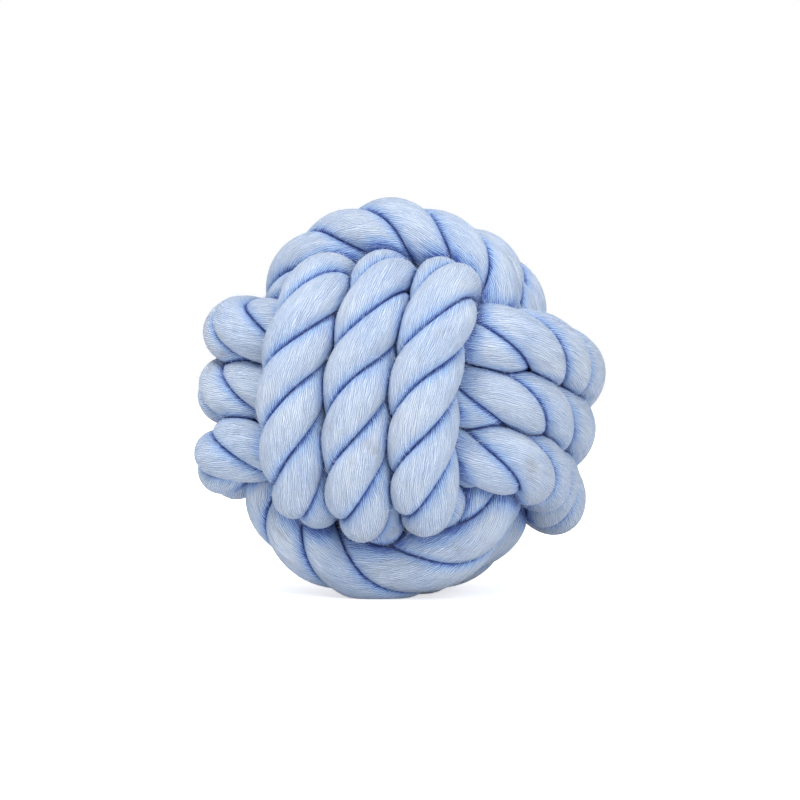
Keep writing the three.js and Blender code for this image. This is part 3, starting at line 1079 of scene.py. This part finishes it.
    def strips(self, steps: int, strands: int) -> np.ndarray:
        """Lays the strands' surface out flat in strips side by side, and their end caps as discs above them.

        Args:
            steps: How many rings of faces each strand has.
            strands: How many strands there are.

        Returns:
            The place on the map of each corner of the faces, the quads first and then the caps.
        """
        sides = self.lay.sides
        total = steps * strands
        girth = 2.0 * math.pi * self.lay.strand_radius
        rows = max(1, round(math.sqrt(total * self.lay.ring_step / girth)))
        in_row = math.ceil(total / rows)
        index, corner = np.meshgrid(np.arange(total), np.arange(sides), indexing="ij")
        row, column = index // in_row, index % in_row
        left, right = column / in_row, (column + 1) / in_row
        filled = (1.0 - 2.0 * self.strip_margin) / sides
        low = (row + self.strip_margin + filled * corner) / (rows + 1)
        high = (row + self.strip_margin + filled * (corner + 1)) / (rows + 1)
        parts = [np.stack([left, low, left, high, right, high, right, low], axis=2).reshape(-1, 2)]
        discs = 2 * strands
        angle = 2.0 * math.pi * np.arange(sides + 1) / sides
        radius = self.disc_fill * min(1.0 / discs, 1.0 / (rows + 1))
        for disc in range(discs):
            middle = np.array([[(disc + 0.5) / discs, (rows + 0.5) / (rows + 1)]])
            rim = middle + radius * np.stack([np.cos(angle), np.sin(angle)], axis=1)
            first, second = (rim[1:], rim[:-1]) if disc % 2 == 0 else (rim[:-1], rim[1:])
            corners = np.stack([first, second, np.repeat(middle, sides, axis=0)], axis=1)
            parts.append(corners.reshape(-1, 2))
        return np.vstack(parts)

    def yarn_twist(self) -> float:
        """How far the yarns turn round a strand per millimetre, so that they lie along the rope outside."""
        slant = 2.0 * math.pi * self.lay.strand_offset / self.lay.lay_length
        return slant / self.lay.strand_radius


@dataclass(frozen=True)
class LooseFibres:
    """Loose fibre ends that stand out of the strands, thinner in truth than they are drawn.

    Each fibre leans and turns by up to the given angles, in radians, and has its own share of the length.
    """

    per_square_millimetre: float = 0.5
    length: float = 1.5
    thickness: float = 0.05
    bend: float = 0.6
    lean: float = 1.25
    turn: float = 3.1
    length_shares: tuple[float, float] = (0.3, 1.3)
    sides: int = 3
    segments: int = 4
    seed: int = 11
    bare: tuple[Stretch, ...] = (Stretch.CORE_COIL, Stretch.CORE_LEAD, Stretch.TUCKED_END)
    finish: LooseFibreFinish = field(default_factory=LooseFibreFinish)

    def tree(self) -> bpy.types.NodeTree:
        """Makes the tree that scatters bent fibres over the open side of a stretch of rope.

        Returns:
            The tree.
        """
        tree = bpy.data.node_groups.new("loose_fibres", "GeometryNodeTree")
        for name, kind in (
            ("Geometry", "NodeSocketGeometry"),
            ("Density", "NodeSocketFloat"),
            ("Length", "NodeSocketFloat"),
            ("Thickness", "NodeSocketFloat"),
            ("Bend", "NodeSocketFloat"),
            ("Seed", "NodeSocketInt"),
            ("Material", "NodeSocketMaterial"),
        ):
            tree.interface.new_socket(name, in_out="INPUT", socket_type=kind)
        tree.interface.new_socket("Geometry", in_out="OUTPUT", socket_type="NodeSocketGeometry")
        given = add_node(tree, "NodeGroupInput").outputs
        share = add_node(
            tree, "GeometryNodeInputNamedAttribute", {"data_type": "FLOAT", "Name": "open_share"}
        )
        density = add_node(
            tree,
            "ShaderNodeMath",
            {"operation": "MULTIPLY"},
            {0: given["Density"], 1: share.outputs["Attribute"]},
        )
        points = add_node(
            tree,
            "GeometryNodeDistributePointsOnFaces",
            {"distribute_method": "RANDOM"},
            {"Mesh": given["Geometry"], "Density": density, "Seed": given["Seed"]},
        )
        fibre = add_node(
            tree,
            "GeometryNodeMeshCone",
            {"fill_type": "NGON", "Vertices": self.sides, "Side Segments": self.segments, "Radius Top": 0.0},
            {"Radius Bottom": given["Thickness"], "Depth": given["Length"]},
        )
        widest = (self.lean, self.lean, self.turn)
        turn = add_node(
            tree,
            "FunctionNodeRandomValue",
            {"data_type": "FLOAT_VECTOR", 0: tuple(-angle for angle in widest), 1: widest},
            {"Seed": given["Seed"]},
        )
        rotation = add_node(
            tree,
            "FunctionNodeRotateRotation",
            {"rotation_space": "LOCAL"},
            {0: points.outputs["Rotation"], 1: turn},
        )
        size = add_node(
            tree,
            "FunctionNodeRandomValue",
            {"data_type": "FLOAT"} | dict(zip(RANDOM_ENDS, self.length_shares)),
            {"Seed": given["Seed"]},
        )
        placed = add_node(
            tree,
            "GeometryNodeInstanceOnPoints",
            links={
                "Points": points,
                "Instance": self.bent(tree, fibre, given),
                "Rotation": rotation,
                "Scale": size.outputs[RANDOM_RESULT],
            },
        )
        real = add_node(tree, "GeometryNodeRealizeInstances", links={0: placed})
        dressed = add_node(
            tree, "GeometryNodeSetMaterial", links={"Geometry": real, "Material": given["Material"]}
        )
        add_node(tree, "NodeGroupOutput", links={0: dressed})
        return tree

    def bent(
        self, tree: bpy.types.NodeTree, fibre: bpy.types.Node, given: bpy.types.bpy_prop_collection
    ) -> bpy.types.Node:
        """Bends a straight fibre over towards its tip.

        Args:
            tree: The tree.
            fibre: The straight fibre.
            given: The tree's inputs.

        Returns:
            The bent fibre.
        """
        position = add_node(tree, "GeometryNodeInputPosition")
        height = add_node(tree, "ShaderNodeSeparateXYZ", links={0: position}).outputs["Z"]
        share = add_node(tree, "ShaderNodeMath", {"operation": "DIVIDE"}, {0: height, 1: given["Length"]})
        aside = share
        for factor in (share, given["Bend"], given["Length"]):
            aside = add_node(tree, "ShaderNodeMath", {"operation": "MULTIPLY"}, {0: aside, 1: factor})
        offset = add_node(tree, "ShaderNodeCombineXYZ", links={"X": aside})
        return add_node(tree, "GeometryNodeSetPosition", links={"Geometry": fibre, "Offset": offset})

    def build(self, ropes: dict[Stretch, bpy.types.Object]) -> list[bpy.types.Object]:
        """Covers each stretch that shows with loose fibres.

        Args:
            ropes: The stretches of rope.

        Returns:
            The fibres, a piece for each stretch.
        """
        tree = self.tree()
        material = self.finish.material()
        return [
            self.scattered(rope, stretch, tree, material, self.seed + number)
            for number, (stretch, rope) in enumerate(ropes.items())
            if stretch not in self.bare
        ]

    def scattered(
        self,
        rope: bpy.types.Object,
        stretch: Stretch,
        tree: bpy.types.NodeTree,
        material: bpy.types.Material,
        seed: int,
    ) -> bpy.types.Object:
        """Scatters fibres over one stretch of rope and makes them a plain mesh, which rides on the ball.

        Args:
            rope: The stretch of rope.
            stretch: Which stretch it is.
            tree: The tree that scatters.
            material: The fibres' material.
            seed: The seed of the scatter.

        Returns:
            The stretch's fibres.
        """
        carrier = bpy.data.objects.new("fibre_carrier", rope.data.copy())
        bpy.context.scene.collection.objects.link(carrier)
        modifier = carrier.modifiers.new("loose_fibres", "NODES")
        modifier.node_group = tree
        values = {
            "Density": self.per_square_millimetre / METRES**2,
            "Length": self.length * METRES,
            "Thickness": self.thickness * METRES / 2.0,
            "Bend": self.bend,
            "Seed": seed,
            "Material": material,
        }
        for item in tree.interface.items_tree:
            if item.in_out == "INPUT" and item.name in values:
                modifier[item.identifier] = values[item.name]
        graph = bpy.context.evaluated_depsgraph_get()
        mesh = bpy.data.meshes.new_from_object(carrier.evaluated_get(graph), depsgraph=graph)
        carrier.modifiers.remove(modifier)
        bpy.data.objects.remove(carrier)
        mesh.name = stretch.value + "_fibres"
        fibres = bpy.data.objects.new(mesh.name, mesh)
        bpy.context.scene.collection.objects.link(fibres)
        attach(fibres, "root")
        return fibres


@dataclass(frozen=True)
class Softbox:
    """A soft square lamp that points at the ball, with its angles in degrees from the front and from level.

    Its power is in watts, and its side and its distance from the ball are in metres.
    """

    name: str
    azimuth: float
    elevation: float
    power: float
    side: float
    distance: float = 0.9

    def hang(self) -> None:
        """Hangs the lamp in its place."""
        turn, lift = math.radians(self.azimuth), math.radians(self.elevation)
        back = Vector((math.sin(turn) * math.cos(lift), -math.cos(turn) * math.cos(lift), math.sin(lift)))
        data = bpy.data.lights.new(self.name, "AREA")
        data.shape = "SQUARE"
        data.size = self.side
        data.energy = self.power
        lamp = bpy.data.objects.new(self.name, data)
        lamp.location = Vector(BALL_CENTRE) * METRES + back * self.distance
        lamp.rotation_euler = (-back).to_track_quat("-Z", "Y").to_euler()
        bpy.context.scene.collection.objects.link(lamp)


@dataclass(frozen=True)
class Studio:
    """A white floor and soft white light from all round, as for a product picture, and the camera.

    The camera's distance is in millimetres, its sensor too, and the floor's side is in metres.
    """

    azimuth: float = 14.0
    elevation: float = 1.0
    distance: float = 650.0
    pixels_per_millimetre: float = 4.505
    picture_width: float = 800.0
    aside_pixels: float = 1.0
    sensor: float = 36.0
    clip_start: float = 0.01
    floor_side: float = 4.0
    floor_colour: str = "#F4F4F4"
    floor_glow: float = 0.6
    sky_strength: float = 0.85
    lamps: tuple[Softbox, ...] = (
        Softbox("high_left_softbox", azimuth=-14.0, elevation=60.0, power=5.6, side=0.3),
        Softbox("front_right_softbox", azimuth=30.0, elevation=12.0, power=4.5, side=0.5),
    )

    def camera(self) -> None:
        """Places the camera at the picture's view."""
        azimuth, elevation = math.radians(self.azimuth), math.radians(self.elevation)
        level = math.cos(elevation)
        away = Vector((-math.sin(azimuth) * level, math.cos(azimuth) * level, -math.sin(elevation)))
        right = Vector((math.cos(azimuth), math.sin(azimuth), 0.0))
        aside = self.aside_pixels / self.pixels_per_millimetre
        aim = (Vector(BALL_CENTRE) - right * aside) * METRES
        data = bpy.data.cameras.new("picture_camera")
        data.sensor_width = self.sensor
        data.lens = self.sensor * self.pixels_per_millimetre * self.distance / self.picture_width
        data.clip_start = self.clip_start
        camera = bpy.data.objects.new("picture_camera", data)
        camera.location = aim - away * self.distance * METRES
        camera.rotation_euler = away.to_track_quat("-Z", "Y").to_euler()
        bpy.context.scene.collection.objects.link(camera)
        bpy.context.scene.camera = camera

    def floor(self) -> None:
        """Lays the floor, which shows white and still takes the ball's shadow."""
        half = self.floor_side / 2.0
        mesh = bpy.data.meshes.new("floor")
        corners = [(-half, -half, 0.0), (half, -half, 0.0), (half, half, 0.0), (-half, half, 0.0)]
        mesh.from_pydata(corners, [], [(0, 1, 2, 3)])
        material = bpy.data.materials.new("matt_white_floor")
        material.use_nodes = True
        tree = material.node_tree
        tree.nodes.clear()
        matt = add_node(tree, "ShaderNodeBsdfDiffuse", {"Color": linear(self.floor_colour)})
        seen = add_node(
            tree, "ShaderNodeMath", {"operation": "MULTIPLY", 1: self.floor_glow}, {0: self.shown(tree)}
        )
        glow = add_node(tree, "ShaderNodeEmission", links={"Strength": seen})
        both = add_node(tree, "ShaderNodeAddShader", links={0: matt, 1: glow})
        add_node(tree, "ShaderNodeOutputMaterial", links={"Surface": both})
        mesh.materials.append(material)
        floor = bpy.data.objects.new("floor", mesh)
        bpy.context.scene.collection.objects.link(floor)

    def shown(self, tree: bpy.types.NodeTree) -> bpy.types.Node:
        """Tells the rays that show the surroundings from those that light the ball.

        Args:
            tree: The tree of the floor or the sky.

        Returns:
            A node that is 1 for a ray from the camera, a reflection or a clear surface.
        """
        path = add_node(tree, "ShaderNodeLightPath").outputs
        mirrored = add_node(
            tree,
            "ShaderNodeMath",
            {"operation": "ADD"},
            {0: path["Is Glossy Ray"], 1: path["Is Transmission Ray"]},
        )
        return add_node(
            tree,
            "ShaderNodeMath",
            {"operation": "ADD", "use_clamp": True},
            {0: path["Is Camera Ray"], 1: mirrored},
        )

    def sky(self) -> None:
        """Lights the ball evenly from all round. The camera sees plain white."""
        world = bpy.data.worlds.new("white_room")
        bpy.context.scene.world = world
        world.use_nodes = True
        tree = world.node_tree
        tree.nodes.clear()
        strength = add_node(
            tree,
            "ShaderNodeMapRange",
            {"To Min": self.sky_strength, "To Max": 1.0},
            {"Value": self.shown(tree)},
        )
        background = add_node(tree, "ShaderNodeBackground", {"Color": WHITE}, {"Strength": strength})
        add_node(tree, "ShaderNodeOutputWorld", links={"Surface": background})

    def build(self) -> None:
        """Sets the camera, the floor and the light."""
        self.camera()
        self.floor()
        self.sky()
        for lamp in self.lamps:
            lamp.hang()
        bpy.context.scene.view_settings.view_transform = "Standard"


def main() -> None:
    """Builds the surroundings, the ball and its loose fibres in order, and reports each piece."""
    logging.basicConfig(level=logging.INFO, format="%(name)s: %(message)s")
    Studio().build()
    ropes = RopeBall().build()
    fibres = LooseFibres().build(ropes)
    for piece in [*ropes.values(), *fibres]:
        LOG.info("%s: %d faces", piece.name, len(piece.data.polygons))


if __name__ == "__main__":
    main()
